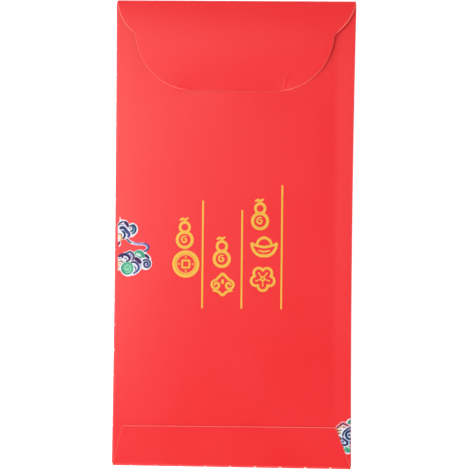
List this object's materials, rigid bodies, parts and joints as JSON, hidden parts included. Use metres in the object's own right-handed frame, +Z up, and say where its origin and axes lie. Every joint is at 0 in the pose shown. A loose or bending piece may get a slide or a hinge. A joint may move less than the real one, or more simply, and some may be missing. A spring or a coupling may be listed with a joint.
{
  "type": "red envelope",
  "caption": "Flat red card envelope for gift money: a glued pocket with perforated folds, gold foil rules, and a shaped flap that closes by tucking its tongue into a slit in the back.",
  "frame": {"origin": "on the surface that the envelope lies on, under the centre of its outline", "axes": "+X across the width, towards the glued side; +Y along the height, towards the closing flap; +Z up through the thickness, towards the flap side"},
  "size_m": [0.0874, 0.17, 0.0028],
  "materials": {
    "red_card": "satin",
    "dried_glue": "matte",
    "gold_foil": "satin"
  },
  "bodies": {
    "pocket": {"front_panel": "red_card", "back_panel": "red_card", "left_fold": "red_card", "right_fold": "red_card", "side_tab": "red_card", "side_glue": "dried_glue", "bottom_fold": "red_card", "bottom_flap": "red_card", "bottom_glue": "dried_glue", "top_crease": "red_card", "gold_rules": "gold_foil"},
    "flap": {"top_flap": "red_card", "flap_tongue": "red_card"}
  },
  "joints": [
    {"name": "flap_hinge", "type": "hinge", "parent": "pocket", "child": "flap", "pos_m": [0, 0.08485, 0.00098], "axis": [-1, 0, 0], "range_deg": [0, 170], "deforming": ["top_crease", "flap_tongue"]}
  ]
}
